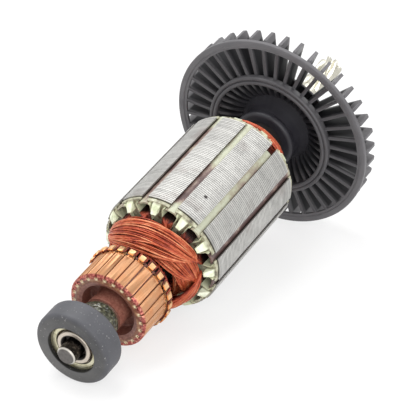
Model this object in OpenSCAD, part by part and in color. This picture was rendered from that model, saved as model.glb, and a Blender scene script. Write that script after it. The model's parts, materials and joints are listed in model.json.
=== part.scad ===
// Armature of a portable power tool's brushed motor.
//
// Everything is laid out along the shaft: z = 0 is the rear face of the lamination stack, +z runs
// to the commutator end and -z to the fan and the pinion. The radial direction +y is the side that
// faces up when the armature lies on a table, on its fan rim and its bearing ring. One last move,
// in_rest_pose(), lays the finished armature down.

/* [Shaft] */
// Diameter of the shaft under the core, the sleeve and the fan
shaft_d = 11; // [9:0.5:12]
// Diameter of the seat for the commutator-end bearing
bearing_seat_d = 8; // [6:0.5:8.5]
// Diameter of the turned tip beyond the bearing seat
tip_d = 6.4; // [5:0.1:7]
// How far the tip stands out of the bearing's front face
tip_len = 4.6; // [2:0.1:8]
// How far the bearing seat stops short of the bearing's front face
seat_recess = 1.7; // [0.5:0.1:3]
// Diameter of the journal for the drive-end bearing
drive_journal_d = 10; // [9:0.5:10.5]
// Length of the journal for the drive-end bearing
drive_journal_len = 18.3; // [12:0.1:26]

/* [Pinion] */
// Number of teeth of the pinion
pinion_teeth = 7; // [6:1:10]
// Diameter over the pinion's teeth
pinion_tip_d = 8.6; // [7.5:0.1:9]
// Depth of a pinion tooth
pinion_tooth_depth = 1.6; // [1:0.1:1.8]
// Length of the pinion's teeth
pinion_len = 19; // [10:0.5:26]
// Helix angle of the pinion's teeth
pinion_helix = 20; // [0:1:28]

/* [Core] */
// Outer diameter of the lamination stack
core_d = 42; // [41:0.5:46]
// Length of the lamination stack
stack_len = 47.5; // [35:0.5:60]
// Width of a slot's mouth
slot_mouth = 2.5; // [2:0.1:3.4]
// Thickness of the tooth tips beside a slot's mouth
tooth_tip = 1.1; // [0.8:0.1:1.5]
// Radius of a slot's bottom
slot_bottom_r = 1.25; // [1.1:0.05:1.4]
// Radius of the shaft side of a slot, measured from the shaft axis
slot_floor = 10; // [9.6:0.1:10.4]
// Width of a slot at its widest, under the tooth tips
slot_width = 5.9; // [5.4:0.1:6.2]
// Corner radius of a slot under the tooth tips
slot_corner_r = 1.2; // [0.8:0.1:1.4]
// Angle of the first slot from the armature's upper side
slot_phase = 11; // [0:1:29]

/* [Insulation] */
// Wall of the insulating sleeve between the shaft and the core
sleeve_wall = 2.1; // [1.5:0.1:2.3]
// Thickness of the end insulators
end_plate_t = 1.3; // [0.8:0.1:2]
// Edge of the end insulators inside the core's outer diameter
end_plate_inset = 0.5; // [0.2:0.1:1]
// Distance from an end insulator's edge in to its lugs
lug_inset = 0.3; // [0.2:0.1:0.6]
// Radial length of the lug on each tooth of an end insulator
lug_len = 2.9; // [2.4:0.1:3.2]
// Height of a lug's tip, the end that leans towards the winding
lug_h = 3.1; // [1.5:0.1:3.5]
// Width of a lug at its outer end
lug_w = 2.9; // [2:0.1:3.2]
// Width of a lug at its tip
lug_tip_w = 1.6; // [1:0.1:1.9]
// Thickness of the slot liners
liner_t = 0.3; // [0.2:0.05:0.35]
// How far the slot liners stand out of the end insulators
liner_out = 1; // [0.5:0.1:2]
// Thickness of the slot wedges
wedge_t = 0.6; // [0.4:0.05:0.7]
// How far the slot wedges stand out of the core
wedge_out = 1.9; // [1:0.1:2.5]

/* [Winding] */
// Length of the winding's overhang at the commutator end
overhang_front = 13.6; // [12:0.1:13.8]
// Length of the winding's overhang at the fan end
overhang_rear = 9; // [8:0.5:12.5]
// Clear space between neighbouring coils
coil_gap = 0.38; // [0.36:0.01:0.5]

/* [Commutator] */
// Number of copper bars
bar_count = 24; // [24:12:24]
// Diameter of the brush track
track_d = 27.4; // [26:0.2:29]
// Length of the brush track
track_len = 11.5; // [9:0.5:14]
// Space between two bars
bar_gap = 0.5; // [0.4:0.05:0.9]
// Depth of a bar below the brush track
bar_depth = 2.7; // [2.4:0.1:3]
// Length of the tangs that join the hooks to the brush track
riser_len = 2; // [2:0.1:4]
// Width of a hook
hook_w = 1.8; // [1.4:0.1:2.2]
// Height of a hook above the brush track
hook_h = 1.3; // [1.1:0.1:1.6]
// Width of the moulding's rim inside the bars
rim_w = 1.7; // [1.2:0.1:2]
// How far the moulding's rim stands in front of the bars
rim_h = 0.2; // [0:0.1:0.6]
// How far the rim falls inwards, towards the recess
rim_fall = 0.6; // [0:0.1:1.2]
// Depth of the recess inside the rim, below the bars' front
recess_depth = 5; // [3:0.2:7]
// How far the moulding's hub stands in front of the bars
hub_lead = 2.3; // [0:0.1:4]
// Diameter of the moulding's hub
hub_d = 12.6; // [12.4:0.2:14]

/* [Bearing] */
// Outer diameter of the bearing
bearing_d = 22; // [21:0.5:24]
// Width of the bearing
bearing_w = 7; // [7:0.5:8]
// Number of balls
ball_count = 7; // [6:1:7]
// Ball diameter
ball_d = 3.969; // [3.5:0.001:4]
// How far the inner race's shoulders stay inside the ball circle
inner_shoulder = 1.6; // [1.3:0.05:1.8]
// How far the outer race's shoulders stay outside the ball circle
outer_shoulder = 1.9; // [1.3:0.05:1.9]
// Radial running clearance between a ball and each race
ball_clearance = 0.03; // [0.01:0.01:0.08]
// Space between a shield and the inner race
shield_gap = 0.4; // [0.3:0.05:0.6]
// Wall of the rubber ring round the bearing
ring_wall = 2; // [1.5:0.1:4]
// Length that the rubber ring stands in front of the bearing
ring_lip = 1.4; // [0.8:0.1:2]
// Opening in the rubber ring's front
ring_opening_d = 16.3; // [15:0.1:18]
// Edge rounding of the rubber ring
ring_round = 1.7; // [0.8:0.1:2]

/* [Fan] */
// Outer diameter of the fan's rim
fan_d = 72.6; // [66:0.2:80]
// Radial width of the rim
rim_band = 3; // [2:0.1:5]
// Thickness of the rim
rim_t = 1.3; // [1:0.1:2]
// Number of blades
blade_count = 40; // [24:4:44]
// Thickness of a blade
blade_t = 1.1; // [0.6:0.1:1.2]
// Depth of the blades behind the rim's front
blade_depth = 8.5; // [6:0.5:11]
// How far the blade tips stay inside the rim's outer edge
tip_inset = 0.2; // [0.2:0.1:2]
// Outer diameter of the inner ring
inner_ring_d = 46.2; // [42:0.2:48]
// Radial width of the inner ring
inner_ring_band = 2.9; // [2:0.1:4]
// Diameter of the hub's rounded collar
collar_d = 22.2; // [20:0.2:24]
// Diameter of the hub's back plate
back_plate_d = 39.8; // [36:0.2:42]
// Distance between the rim's front and the core's rear face
fan_to_core = 23.5; // [22:0.5:30]
// Distance from the rim's front to the hub collar's front
collar_lead = 5.2; // [3:0.1:6]

/* [Spacing along the shaft] */
// Space between the winding's front overhang and the commutator
winding_to_commutator = 2.4; // [1:0.1:3]
// Space between the commutator's front and the rubber ring
commutator_to_ring = 11.3; // [8:0.1:14]

/* [Hidden] */
slot_count = 12;
slot_pitch = 360 / slot_count;
bar_pitch = 360 / bar_count;
touch = 0.01;            // embeds a piece of the same solid in its neighbour
seat_clearance = 0.05;   // between a liner and its slot
coil_clearance = 0.15;   // between a coil and its liner

shaft_r = shaft_d / 2;
sleeve_r = shaft_r + sleeve_wall;
core_r = core_d / 2;
lug_r = core_r - end_plate_inset - lug_inset;
lug_gap = 0.2;           // between a lug's tip and the overhang inside it
overhang_r = lug_r - lug_len - lug_gap;

// Stations along the shaft, from the core outwards
front_plate_z = stack_len + end_plate_t;
front_exit_z = front_plate_z + liner_out + 0.2;
front_winding_z = front_exit_z + overhang_front;
commutator_rear_z = front_winding_z + winding_to_commutator;
riser_rear_z = commutator_rear_z + 1.2;
track_rear_z = riser_rear_z + riser_len;
commutator_front_z = track_rear_z + track_len;
ring_rear_z = commutator_front_z + commutator_to_ring;
ring_rear_lip = 0.8;
bearing_rear_z = ring_rear_z + ring_rear_lip;
bearing_front_z = bearing_rear_z + bearing_w;
ring_front_z = bearing_front_z + ring_lip;
shaft_front_z = bearing_front_z + tip_len;
rear_exit_z = -end_plate_t - liner_out - 0.2;
fan_front_z = -fan_to_core;
collar_front_z = fan_front_z + collar_lead;
fan_rear_z = fan_front_z - blade_depth - 0.2;
pinion_front_z = fan_rear_z - drive_journal_len;
shaft_rear_z = pinion_front_z - pinion_len;

ring_d = bearing_d + 2 * ring_wall;

// Lying on a table: the rim's edge and the ring's rounded edge touch the same plane
rim_round = 0.3;
rim_touch = [fan_d / 2 - rim_round, fan_front_z - rim_round, rim_round];
ring_touch = [ring_d / 2 - ring_round, ring_front_z - ring_round, ring_round];
touch_drop = rim_touch[0] - ring_touch[0];
touch_run = ring_touch[1] - rim_touch[1];
tilt = acos((ring_touch[2] - rim_touch[2]) / norm([touch_drop, touch_run]))
     - atan2(touch_run, touch_drop);
axis_lift = rim_touch[0] * cos(tilt) + rim_touch[1] * sin(tilt) + rim_touch[2];
tip_chamfer = 0.7;
pinion_chamfer = 0.6;
front_reach = max(shaft_front_z * cos(tilt) + (tip_d / 2 - tip_chamfer) * sin(tilt),
                  (shaft_front_z - tip_chamfer) * cos(tilt) + tip_d / 2 * sin(tilt));
rear_reach = -shaft_rear_z * cos(tilt) + (pinion_tip_d / 2 - pinion_chamfer) * sin(tilt);
centre_shift = (front_reach - rear_reach) / 2;

function numbered(name, n) = [for (i = [1 : n]) str(name, i < 10 ? "_0" : "_", i)];
liner_names = numbered("slot_liner", slot_count);
wedge_names = numbered("slot_wedge", slot_count);
coil_names = numbered("coil", slot_count);

// ---------------------------------------------------------------------------------- shared forms

// Points of an arc about [cx, cy], from angle a0 to a1 in n steps
function arc(cx, cy, r, a0, a1, n = 6) =
    [for (i = [0 : n]) let (a = a0 + (a1 - a0) * i / n) [cx + r * cos(a), cy + r * sin(a)]];

function mix(a, b, t) = a + (b - a) * t;
function unit(v) = v / norm(v);

// A half section [r, z] turned about the shaft
module turned(section, fn = 96) {
    rotate_extrude($fn = fn) polygon(section);
}

// Lays the armature down on its rim and its ring, centred over the origin
module in_rest_pose() {
    translate([0, centre_shift, axis_lift]) rotate([90 + tilt, 0, 0]) children();
}

module around(count, phase = 0) {
    for (i = [0 : count - 1]) rotate([0, 0, phase + i * 360 / count]) children();
}

// ------------------------------------------------------------------------------------------ shaft

// Outline of the pinion: flanks that widen from the tip to the root
pinion_root_r = pinion_tip_d / 2 - pinion_tooth_depth;
function pinion_outline() = [
    for (i = [0 : pinion_teeth - 1]) let (pitch = 360 / pinion_teeth, a = i * pitch)
        for (p = [[-0.40, 0], [-0.27, 0.35], [-0.17, 0.75], [-0.08, 1],
                  [0.08, 1], [0.17, 0.75], [0.27, 0.35], [0.40, 0]])
            let (r = pinion_root_r + pinion_tooth_depth * p[1], b = a + p[0] * pitch)
                [r * cos(b), r * sin(b)]];

module pinion_cutting() {
    twist = tan(pinion_helix) * pinion_len / (PI * pinion_tip_d) * 360;
    intersection() {
        translate([0, 0, shaft_rear_z])
            linear_extrude(height = pinion_len + 1, twist = twist, slices = 18)
                polygon(pinion_outline());
        turned([[0, shaft_rear_z],
                [pinion_tip_d / 2 - pinion_chamfer, shaft_rear_z],
                [pinion_tip_d / 2 + 0.2, shaft_rear_z + pinion_chamfer + 0.2],
                [pinion_tip_d / 2 + 0.2, pinion_front_z + 0.5],
                [0, pinion_front_z + 0.5]], 48);
    }
}

// One turned and ground steel bar, with the pinion's teeth cut on its drive end
module shaft() {
    seat_r = bearing_seat_d / 2;
    journal_r = drive_journal_d / 2;
    tip_r = tip_d / 2;
    seat_end_z = bearing_front_z - seat_recess;
    seat_chamfer = 0.3;
    journal_chamfer = 0.8;
    shoulder_z = fan_rear_z - 0.6;
    relief_len = 1;
    relief_depth = 0.25;
    color([0.62, 0.61, 0.58]) in_rest_pose() union() {
        turned([[0, pinion_front_z],
                [journal_r - journal_chamfer, pinion_front_z],
                [journal_r, pinion_front_z + journal_chamfer],
                [journal_r, shoulder_z - relief_len - relief_depth],
                [journal_r - relief_depth, shoulder_z - relief_len],
                [journal_r - relief_depth, shoulder_z],
                [shaft_r, shoulder_z],
                [shaft_r, bearing_rear_z],
                [seat_r, bearing_rear_z],
                [seat_r, seat_end_z - seat_chamfer],
                [seat_r - seat_chamfer, seat_end_z],
                [tip_r, seat_end_z],
                [tip_r, shaft_front_z - tip_chamfer],
                [tip_r - tip_chamfer, shaft_front_z],
                [0, shaft_front_z]]);
        pinion_cutting();
    }
}

// Moulded sleeve that keeps the shaft apart from the core and the windings
module shaft_sleeve() {
    color([0.78, 0.74, 0.60]) in_rest_pose()
        turned([[shaft_r, collar_front_z], [sleeve_r, collar_front_z],
                [sleeve_r, commutator_rear_z], [shaft_r, commutator_rear_z]]);
}

// Lumpy resin run round the shaft between the commutator and the bearing
module resin_collar() {
    resin_rear_z = commutator_front_z + hub_lead;
    resin_front_z = ring_rear_z - 0.4;
    resin_len = resin_front_z - resin_rear_z;
    resin_h = 1.1;
    lumps = 9;
    color([0.22, 0.25, 0.19]) in_rest_pose()
        turned(concat(
            [[shaft_r, resin_front_z], [shaft_r, resin_rear_z]],
            [for (i = [0 : lumps]) let (t = i / lumps)
                [shaft_r + resin_h + 0.22 * cos(i * 137) - 0.35 * pow(2 * t - 1, 6),
                 resin_rear_z + resin_len * t]]), 60);
}

// ------------------------------------------------------------------------------------------- core

// A slot is the smooth outline round one circle at its floor and two under the tooth tips
floor_y = slot_floor + slot_bottom_r;
corner_x = slot_width / 2 - slot_corner_r;
corner_y = core_r - tooth_tip - slot_corner_r;
flank_angle = atan2(corner_y - floor_y, corner_x)
            - acos((slot_bottom_r - slot_corner_r) / norm([corner_x, corner_y - floor_y]));

function slot_outline(inset = 0) = concat(
    arc(0, floor_y, slot_bottom_r - inset, 180 - flank_angle, 360 + flank_angle, 10),
    arc(corner_x, corner_y, slot_corner_r - inset, flank_angle, 90, 5),
    arc(-corner_x, corner_y, slot_corner_r - inset, 90, 180 - flank_angle, 5));

// Half the slot's width at the height y between its floor and its corners
function slot_half_width(y) = (slot_bottom_r - (y - floor_y) * sin(flank_angle)) / cos(flank_angle);

module slot_cut(inset = 0, mouth = slot_mouth) {
    polygon(slot_outline(inset));
    translate([-mouth / 2, corner_y]) square([mouth, core_r - corner_y + 1]);
}

module toothed_section(r, inset = 0, mouth = slot_mouth) {
    difference() {
        circle(r = r, $fn = 180);
        circle(r = sleeve_r, $fn = 96);
        around(slot_count, slot_phase) slot_cut(inset, mouth);
    }
}

// Stack of silicon steel laminations with straight, nearly closed slots
module lamination_core() {
    color([0.76, 0.76, 0.77]) in_rest_pose()
        linear_extrude(height = stack_len) toothed_section(core_r);
}

// Lug that narrows and rises from the edge of the end insulator to its tip at the winding
module lug() {
    tip_r = lug_r - lug_len;
    shoulder_h = lug_h * 0.45;
    intersection() {
        rotate([90, 0, 90]) translate([0, 0, -lug_w / 2])
            linear_extrude(height = lug_w)
                polygon([[tip_r, end_plate_t - touch], [lug_r, end_plate_t - touch],
                         [lug_r, end_plate_t + 0.3], [lug_r - 0.5, end_plate_t + shoulder_h],
                         [tip_r + 0.4, end_plate_t + lug_h], [tip_r, end_plate_t + lug_h - 0.2]]);
        linear_extrude(height = end_plate_t + lug_h + 1)
            polygon([[-lug_w / 2, lug_r], [-lug_tip_w / 2, tip_r],
                     [lug_tip_w / 2, tip_r], [lug_w / 2, lug_r]]);
    }
}

// Moulded plate with the laminations' outline and a lug on each tooth
module end_insulator() {
    linear_extrude(height = end_plate_t) toothed_section(core_r - end_plate_inset);
    around(slot_count, slot_phase + slot_pitch / 2) lug();
}

module end_insulator_front() {
    color([0.74, 0.75, 0.64]) in_rest_pose() translate([0, 0, stack_len]) end_insulator();
}

module end_insulator_rear() {
    color([0.74, 0.75, 0.64]) in_rest_pose()
        rotate([0, 0, 2 * slot_phase]) rotate([0, 180, 0]) end_insulator();
}

// Insulating paper folded into one slot, open under the slot's mouth
module slot_liner(i) {
    out = end_plate_t + liner_out;
    liner_mouth = 2 * corner_x + 1;
    color([0.86, 0.88, 0.76]) in_rest_pose()
        rotate([0, 0, slot_phase + i * slot_pitch]) translate([0, 0, -out])
            linear_extrude(height = stack_len + 2 * out) difference() {
                polygon(slot_outline(seat_clearance));
                polygon(slot_outline(seat_clearance + liner_t));
                translate([-liner_mouth / 2, corner_y]) square([liner_mouth, slot_corner_r]);
            }
}

// Arched fibre strip that closes one slot under its tooth tips
module slot_wedge(i) {
    arch_r = 4.5;
    arch_half_angle = 26;
    top_y = core_r - tooth_tip + 0.1;
    color([0.83, 0.85, 0.72]) in_rest_pose()
        rotate([0, 0, slot_phase + i * slot_pitch]) translate([0, top_y - arch_r, -wedge_out])
            linear_extrude(height = stack_len + 2 * wedge_out)
                polygon(concat(
                    arc(0, 0, arch_r, 90 - arch_half_angle, 90 + arch_half_angle, 8),
                    arc(0, 0, arch_r - wedge_t, 90 + arch_half_angle, 90 - arch_half_angle, 8)));
}

// ---------------------------------------------------------------------------------------- winding

// Coils are wound in opposite pairs, each pair over the one before. In the overhangs every pair
// fills its own shell between two nested domes, and in a slot the earlier coil lies at the floor.
levels = slot_count / 2;
coil_span = slot_count / 2 - 1;
dome_foot = sleeve_r + 0.35;
dome_inner_r = 10.7;
dome_inner_h = 0.8;
pole_angle = 76;
inner_angle = 13;
side_inset = seat_clearance + liner_t + coil_clearance;
side_split = 13.7;
side_floor = slot_floor + 0.9;
side_top = corner_y - 2.2;
side_spread = 2;

// Half the angle that a coil covers where it leaves its slot
function exit_angle(shell) =
    let (r = mix(dome_inner_r, overhang_r, shell)) asin((slot_half_width(r) - side_inset) / r);

// A point of the overhang: angle about the shaft, angle up the dome, and shell from 0 to 1
function dome_point(about, up, shell, height) =
    let (r = dome_foot + (mix(dome_inner_r, overhang_r, shell) - dome_foot) * cos(up),
         h = mix(dome_inner_h, height, shell) * sin(up))
    [r * sin(about), r * cos(about), h];

// Rounded section of a coil: u across it from -1 to 1, v through it from 0 to 1. Its broad sides
// have enough points to follow the domes.
section_uv = [[1, 0.3], [0.8, 0], [0.27, 0], [-0.27, 0], [-0.8, 0], [-1, 0.3],
              [-1, 0.7], [-0.8, 1], [-0.27, 1], [0.27, 1], [0.8, 1], [1, 0.7]];

// The half turn over the end of the core, from the left side (-) to the right side (+)
front_steps = 14;
rear_steps = 10;
function end_turn(level, height, turn_steps) =
    let (half_span = coil_span * slot_pitch / 2,
         shell_0 = level / levels + coil_gap / (overhang_r - dome_inner_r) / 2,
         shell_1 = (level + 1) / levels - coil_gap / (overhang_r - dome_inner_r) / 2)
    [for (k = [0 : turn_steps]) let (phi = 180 * k / turn_steps)
        [for (uv = section_uv) let (shell = mix(shell_0, shell_1, uv[1]))
            dome_point(-(half_span - uv[0] * exit_angle(shell)) * cos(phi),
                       mix(pole_angle, inner_angle, (uv[0] + 1) / 2) * sin(phi),
                       shell, height)]];

// A coil side's section in its slot, side = -1 for the left slot and 1 for the right one
function slot_side(side, upper, z) =
    let (half_span = coil_span * slot_pitch / 2,
         y0 = upper ? side_split + coil_gap / 2 : side_floor,
         y1 = upper ? side_top : side_split - coil_gap / 2)
    [for (uv = section_uv)
        let (y = mix(y0, y1, uv[1]), x = -side * uv[0] * (slot_half_width(y) - side_inset),
             a = side * half_span)
        [x * cos(a) + y * sin(a), y * cos(a) - x * sin(a), z]];

function raised(rings, z, dir) = [for (ring = rings) [for (p = ring) [p[0], p[1], z + dir * p[2]]]];
function reversed(list) = [for (i = [len(list) - 1 : -1 : 0]) list[i]];

// One coil is a closed loop of rings: up one side, over the front, down the other, round the rear
function coil_rings(level) =
    let (left_upper = level > 0, right_upper = level == levels - 1,
         front_z = stack_len - side_spread, rear_z = side_spread)
    concat([slot_side(-1, left_upper, rear_z), slot_side(-1, left_upper, front_z)],
           raised(end_turn(level, overhang_front, front_steps), front_exit_z, 1),
           [slot_side(1, right_upper, front_z), slot_side(1, right_upper, rear_z)],
           reversed(raised(end_turn(level, overhang_rear, rear_steps), rear_exit_z, -1)));

module closed_loop(rings) {
    n = len(rings);
    m = len(rings[0]);
    polyhedron(
        points = [for (ring = rings) for (p = ring) p],
        faces = [for (i = [0 : n - 1]) for (j = [0 : m - 1])
            let (a = i * m + j, b = i * m + (j + 1) % m,
                 c = ((i + 1) % n) * m + (j + 1) % m, d = ((i + 1) % n) * m + j)
            each [[a, b, c], [a, c, d]]]);
}

// Coil i is wound in level i mod 6, and the coil opposite it in the same level
module coil(i) {
    level = i % levels;
    color([0.74, 0.37, 0.24]) in_rest_pose()
        rotate([0, 0, slot_phase - slot_pitch / 2 + (i - levels + 1) * slot_pitch])
            closed_loop(coil_rings(level));
}

// ------------------------------------------------------------------------------------- commutator

track_r = track_d / 2;
bar_inner_r = track_r - bar_depth;
dovetail_r = bar_inner_r - 1.1;
hook_r = track_r + hook_h;
bar_chamfer = 0.7;
bar_face_r = track_r - bar_chamfer - 1;   // where the moulding covers the bars' front
cover_t = 0.8;
track_step = 0.1;
lip_len = 0.45;
shelf_r = track_r - 1.3;
hook_t = 0.55;
hook_rear_z = commutator_rear_z + 0.1;
lead_r = 0.3;

// Section of a bar, with a dovetail foot that the moulding grips. Behind the brush track it drops
// to a low shelf, which only the hooks' tangs stand on.
foot_front_z = commutator_front_z - 2.6;
foot_rear_z = riser_rear_z + 2.9;
function bar_section() = [
    [bar_inner_r, riser_rear_z],
    [shelf_r, riser_rear_z],
    [shelf_r, track_rear_z - lip_len],
    [track_r + track_step, track_rear_z - lip_len],
    [track_r + track_step, track_rear_z - track_step],
    [track_r, track_rear_z],
    [track_r, commutator_front_z - bar_chamfer],
    [track_r - bar_chamfer, commutator_front_z],
    [bar_face_r, commutator_front_z],
    [bar_face_r, commutator_front_z - cover_t],
    [bar_inner_r, commutator_front_z - cover_t],
    [bar_inner_r, foot_front_z],
    [dovetail_r, foot_front_z + 1.1],
    [dovetail_r, foot_rear_z - 1.1],
    [bar_inner_r, foot_rear_z]];

// Folded hook: its tang runs back from the brush track, turns up and folds forward over the leads
module hook() {
    foot_r = shelf_r - 0.3;
    rotate([90, 0, 90]) translate([0, 0, -hook_w / 2])
        linear_extrude(height = hook_w)
            polygon([[foot_r, track_rear_z - lip_len + touch],
                     [foot_r, hook_rear_z + 0.5],
                     [foot_r + 0.4, hook_rear_z],
                     [hook_r - 0.5, hook_rear_z],
                     [hook_r, hook_rear_z + 0.5],
                     [hook_r, track_rear_z - 1],
                     [hook_r - 0.25, track_rear_z - 0.5],
                     [hook_r - hook_t, track_rear_z - 0.7],
                     [hook_r - hook_t, hook_rear_z + 0.8],
                     [track_r + track_step, hook_rear_z + 0.8],
                     [track_r + track_step, track_rear_z - lip_len + touch]]);
}

// Hard copper bars, turned together after moulding, each with its hook for two coil leads
module commutator_bars() {
    color([0.86, 0.62, 0.42]) in_rest_pose() union() {
        difference() {
            turned(bar_section(), 144);
            around(bar_count, slot_phase)
                translate([-bar_gap / 2, dovetail_r - 1, riser_rear_z - 1])
                    cube([bar_gap, bar_depth + 4, commutator_front_z - riser_rear_z + 2]);
        }
        around(bar_count, slot_phase + bar_pitch / 2) hook();
    }
}

// Phenolic body pressed on the shaft; its ribs fill the space between the bars
module commutator_moulding() {
    lip_r = bar_inner_r + 0.15;
    lip_z = commutator_front_z + rim_h;
    rim_inner_r = lip_r - rim_w;
    recess_z = commutator_front_z - recess_depth;
    hub_r = hub_d / 2;
    rib_r = shelf_r + 0.3;
    color([0.36, 0.19, 0.16]) in_rest_pose() union() {
        turned([[shaft_r, commutator_rear_z], [shelf_r - 0.4, commutator_rear_z],
                [shelf_r - 0.4, riser_rear_z], [bar_inner_r, riser_rear_z],
                [bar_inner_r, foot_rear_z], [dovetail_r, foot_rear_z - 1.1],
                [dovetail_r, foot_front_z + 1.1], [bar_inner_r, foot_front_z],
                [bar_inner_r, commutator_front_z - cover_t],
                [bar_face_r, commutator_front_z - cover_t],
                [bar_face_r, commutator_front_z], [lip_r, lip_z], [lip_r - 0.25, lip_z],
                [rim_inner_r, lip_z - rim_fall], [rim_inner_r - 0.5, recess_z + 0.5],
                [rim_inner_r - 1, recess_z], [hub_r + 0.5, recess_z],
                [hub_r, recess_z + 0.5], [hub_r, commutator_front_z + hub_lead],
                [shaft_r, commutator_front_z + hub_lead]], 144);
        around(bar_count, slot_phase)
            translate([-bar_gap / 2, dovetail_r - 0.2, riser_rear_z])
                cube([bar_gap, rib_r - dovetail_r + 0.2,
                      commutator_front_z - riser_rear_z - bar_chamfer]);
    }
}

// A round wire swept through a list of points, none of whose runs is radial
module wire(points, r, sides = 5) {
    last = len(points) - 1;
    rings = [for (k = [0 : last])
        let (run = unit(points[min(k + 1, last)] - points[max(k - 1, 0)]),
             u = unit(cross(run, [0, 1, 0])), v = cross(u, run))
        [for (i = [0 : sides - 1]) let (a = 360 * i / sides)
            points[k] + r * cos(a) * u + r * sin(a) * v]];
    polyhedron(
        points = [for (ring = rings) each ring],
        faces = concat(
            [[for (i = [0 : sides - 1]) i]],
            [for (k = [0 : last - 1]) for (i = [0 : sides - 1])
                let (a = k * sides + i, b = k * sides + (i + 1) % sides)
                [a, a + sides, b + sides, b]],
            [[for (i = [sides - 1 : -1 : 0]) last * sides + i]]));
}

// Coil ends: each pair comes out of the overhang on both sides of a hook and meets under it
module coil_leads() {
    side_x = hook_w / 2 + lead_r + 0.05;
    under_r = track_r + track_step + lead_r + 0.02;
    bend_r = 0.6;
    bend_z = riser_rear_z + 0.7;
    turn_z = commutator_rear_z + 0.4;
    start_z = front_winding_z - 1;
    climb = [[-side_x + 0.3, track_r - 1.4, start_z], [-side_x, under_r, turn_z],
             for (p = arc(bend_r - side_x, bend_z - bend_r, bend_r, 180, 90, 3))
                 [p[0], under_r, p[1]]];
    mirrored = [for (k = [len(climb) - 1 : -1 : 0]) [-climb[k][0], climb[k][1], climb[k][2]]];
    color([0.70, 0.33, 0.20]) in_rest_pose() around(bar_count, slot_phase + bar_pitch / 2)
        wire(concat(climb, mirrored), lead_r);
}

// ---------------------------------------------------------------------------------------- bearing

bearing_mid_z = (bearing_rear_z + bearing_front_z) / 2;
half_w = bearing_w / 2;
pitch_r = (bearing_seat_d + bearing_d) / 4;
inner_shoulder_r = pitch_r - inner_shoulder;
outer_shoulder_r = pitch_r + outer_shoulder;
groove_r = ball_d / 2 + ball_clearance;
shield_seat_r = outer_shoulder_r + 0.35;
shield_t = 0.3;
shield_z = half_w - 1.05;
race_chamfer = 0.35;

// Where a groove of radius groove_r about the pitch circle meets a shoulder
function groove_angle(shoulder_r) = acos(abs(shoulder_r - pitch_r) / groove_r);

module at_bearing() {
    in_rest_pose() translate([0, 0, bearing_mid_z]) children();
}

module bearing_inner_race() {
    seat_r = bearing_seat_d / 2;
    a = groove_angle(inner_shoulder_r);
    color([0.80, 0.74, 0.70]) at_bearing()
        turned(concat(
            [[seat_r, race_chamfer - half_w], [seat_r + race_chamfer, -half_w],
             [inner_shoulder_r - 0.2, -half_w], [inner_shoulder_r, 0.2 - half_w]],
            arc(pitch_r, 0, groove_r, 180 + a, 180 - a, 12),
            [[inner_shoulder_r, half_w - 0.2], [inner_shoulder_r - 0.2, half_w],
             [seat_r + race_chamfer, half_w], [seat_r, half_w - race_chamfer]]));
}

module bearing_outer_race() {
    a = groove_angle(outer_shoulder_r);
    outer_r = bearing_d / 2;
    color([0.66, 0.66, 0.67]) at_bearing()
        turned(concat(
            [[outer_r, half_w - 0.4], [outer_r - 0.4, half_w], [shield_seat_r, half_w],
             [shield_seat_r, shield_z], [outer_shoulder_r, shield_z]],
            arc(pitch_r, 0, groove_r, a, -a, 12),
            [[outer_shoulder_r, -shield_z], [shield_seat_r, -shield_z], [shield_seat_r, -half_w],
             [outer_r - 0.4, -half_w], [outer_r, 0.4 - half_w]]));
}

module bearing_balls() {
    color([0.75, 0.76, 0.78]) at_bearing() around(ball_count)
        translate([0, pitch_r, 0]) sphere(d = ball_d, $fn = 32);
}

// Ring between the shoulders, with one pocket for each ball
module bearing_cage() {
    cage_half_w = 2.3;
    cage_t = 1.2;
    pocket_clearance = 0.08;
    color([0.70, 0.62, 0.45]) at_bearing() difference() {
        turned([[pitch_r - cage_t / 2, -cage_half_w], [pitch_r + cage_t / 2, -cage_half_w],
                [pitch_r + cage_t / 2, cage_half_w], [pitch_r - cage_t / 2, cage_half_w]]);
        around(ball_count) translate([0, pitch_r - cage_t, 0]) rotate([-90, 0, 0])
            cylinder(d = ball_d + 2 * pocket_clearance, h = 2 * cage_t, $fn = 48);
    }
}

// Steel washer that snaps into the outer race, with a raised ring round the inner race
module bearing_shield() {
    inner_r = inner_shoulder_r + shield_gap;
    raised_z = shield_z + shield_t + 0.05;
    step_r = pitch_r + 0.1;
    turned([[inner_r, shield_z + 0.1], [inner_r + 0.6, raised_z], [step_r - 0.2, raised_z],
            [step_r, shield_z], [shield_seat_r, shield_z],
            [shield_seat_r, shield_z + shield_t], [step_r + 0.25, shield_z + shield_t],
            [step_r, raised_z + shield_t], [inner_r + 0.5, raised_z + shield_t],
            [inner_r, shield_z + shield_t + 0.1]]);
}

module bearing_shield_front() {
    color([0.80, 0.78, 0.64]) at_bearing() bearing_shield();
}

module bearing_shield_rear() {
    color([0.80, 0.78, 0.64]) at_bearing() rotate([180, 0, 0]) bearing_shield();
}

// Rubber cup that carries the bearing in its housing and takes up vibration
module bearing_ring() {
    outer_r = ring_d / 2;
    opening_r = ring_opening_d / 2;
    lip_round = 0.3;
    color([0.34, 0.34, 0.36]) in_rest_pose()
        turned(concat(
            [[bearing_d / 2, bearing_rear_z], [bearing_d / 2 - 0.8, bearing_rear_z],
             [bearing_d / 2 - 0.8, ring_rear_z]],
            arc(outer_r - ring_round, ring_rear_z + ring_round, ring_round, -90, 0, 6),
            arc(outer_r - ring_round, ring_front_z - ring_round, ring_round, 0, 90, 6),
            arc(opening_r + lip_round, ring_front_z - lip_round, lip_round, 90, 180, 4),
            [[opening_r, bearing_front_z], [bearing_d / 2, bearing_front_z]]), 120);
}

// -------------------------------------------------------------------------------------------- fan

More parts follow.
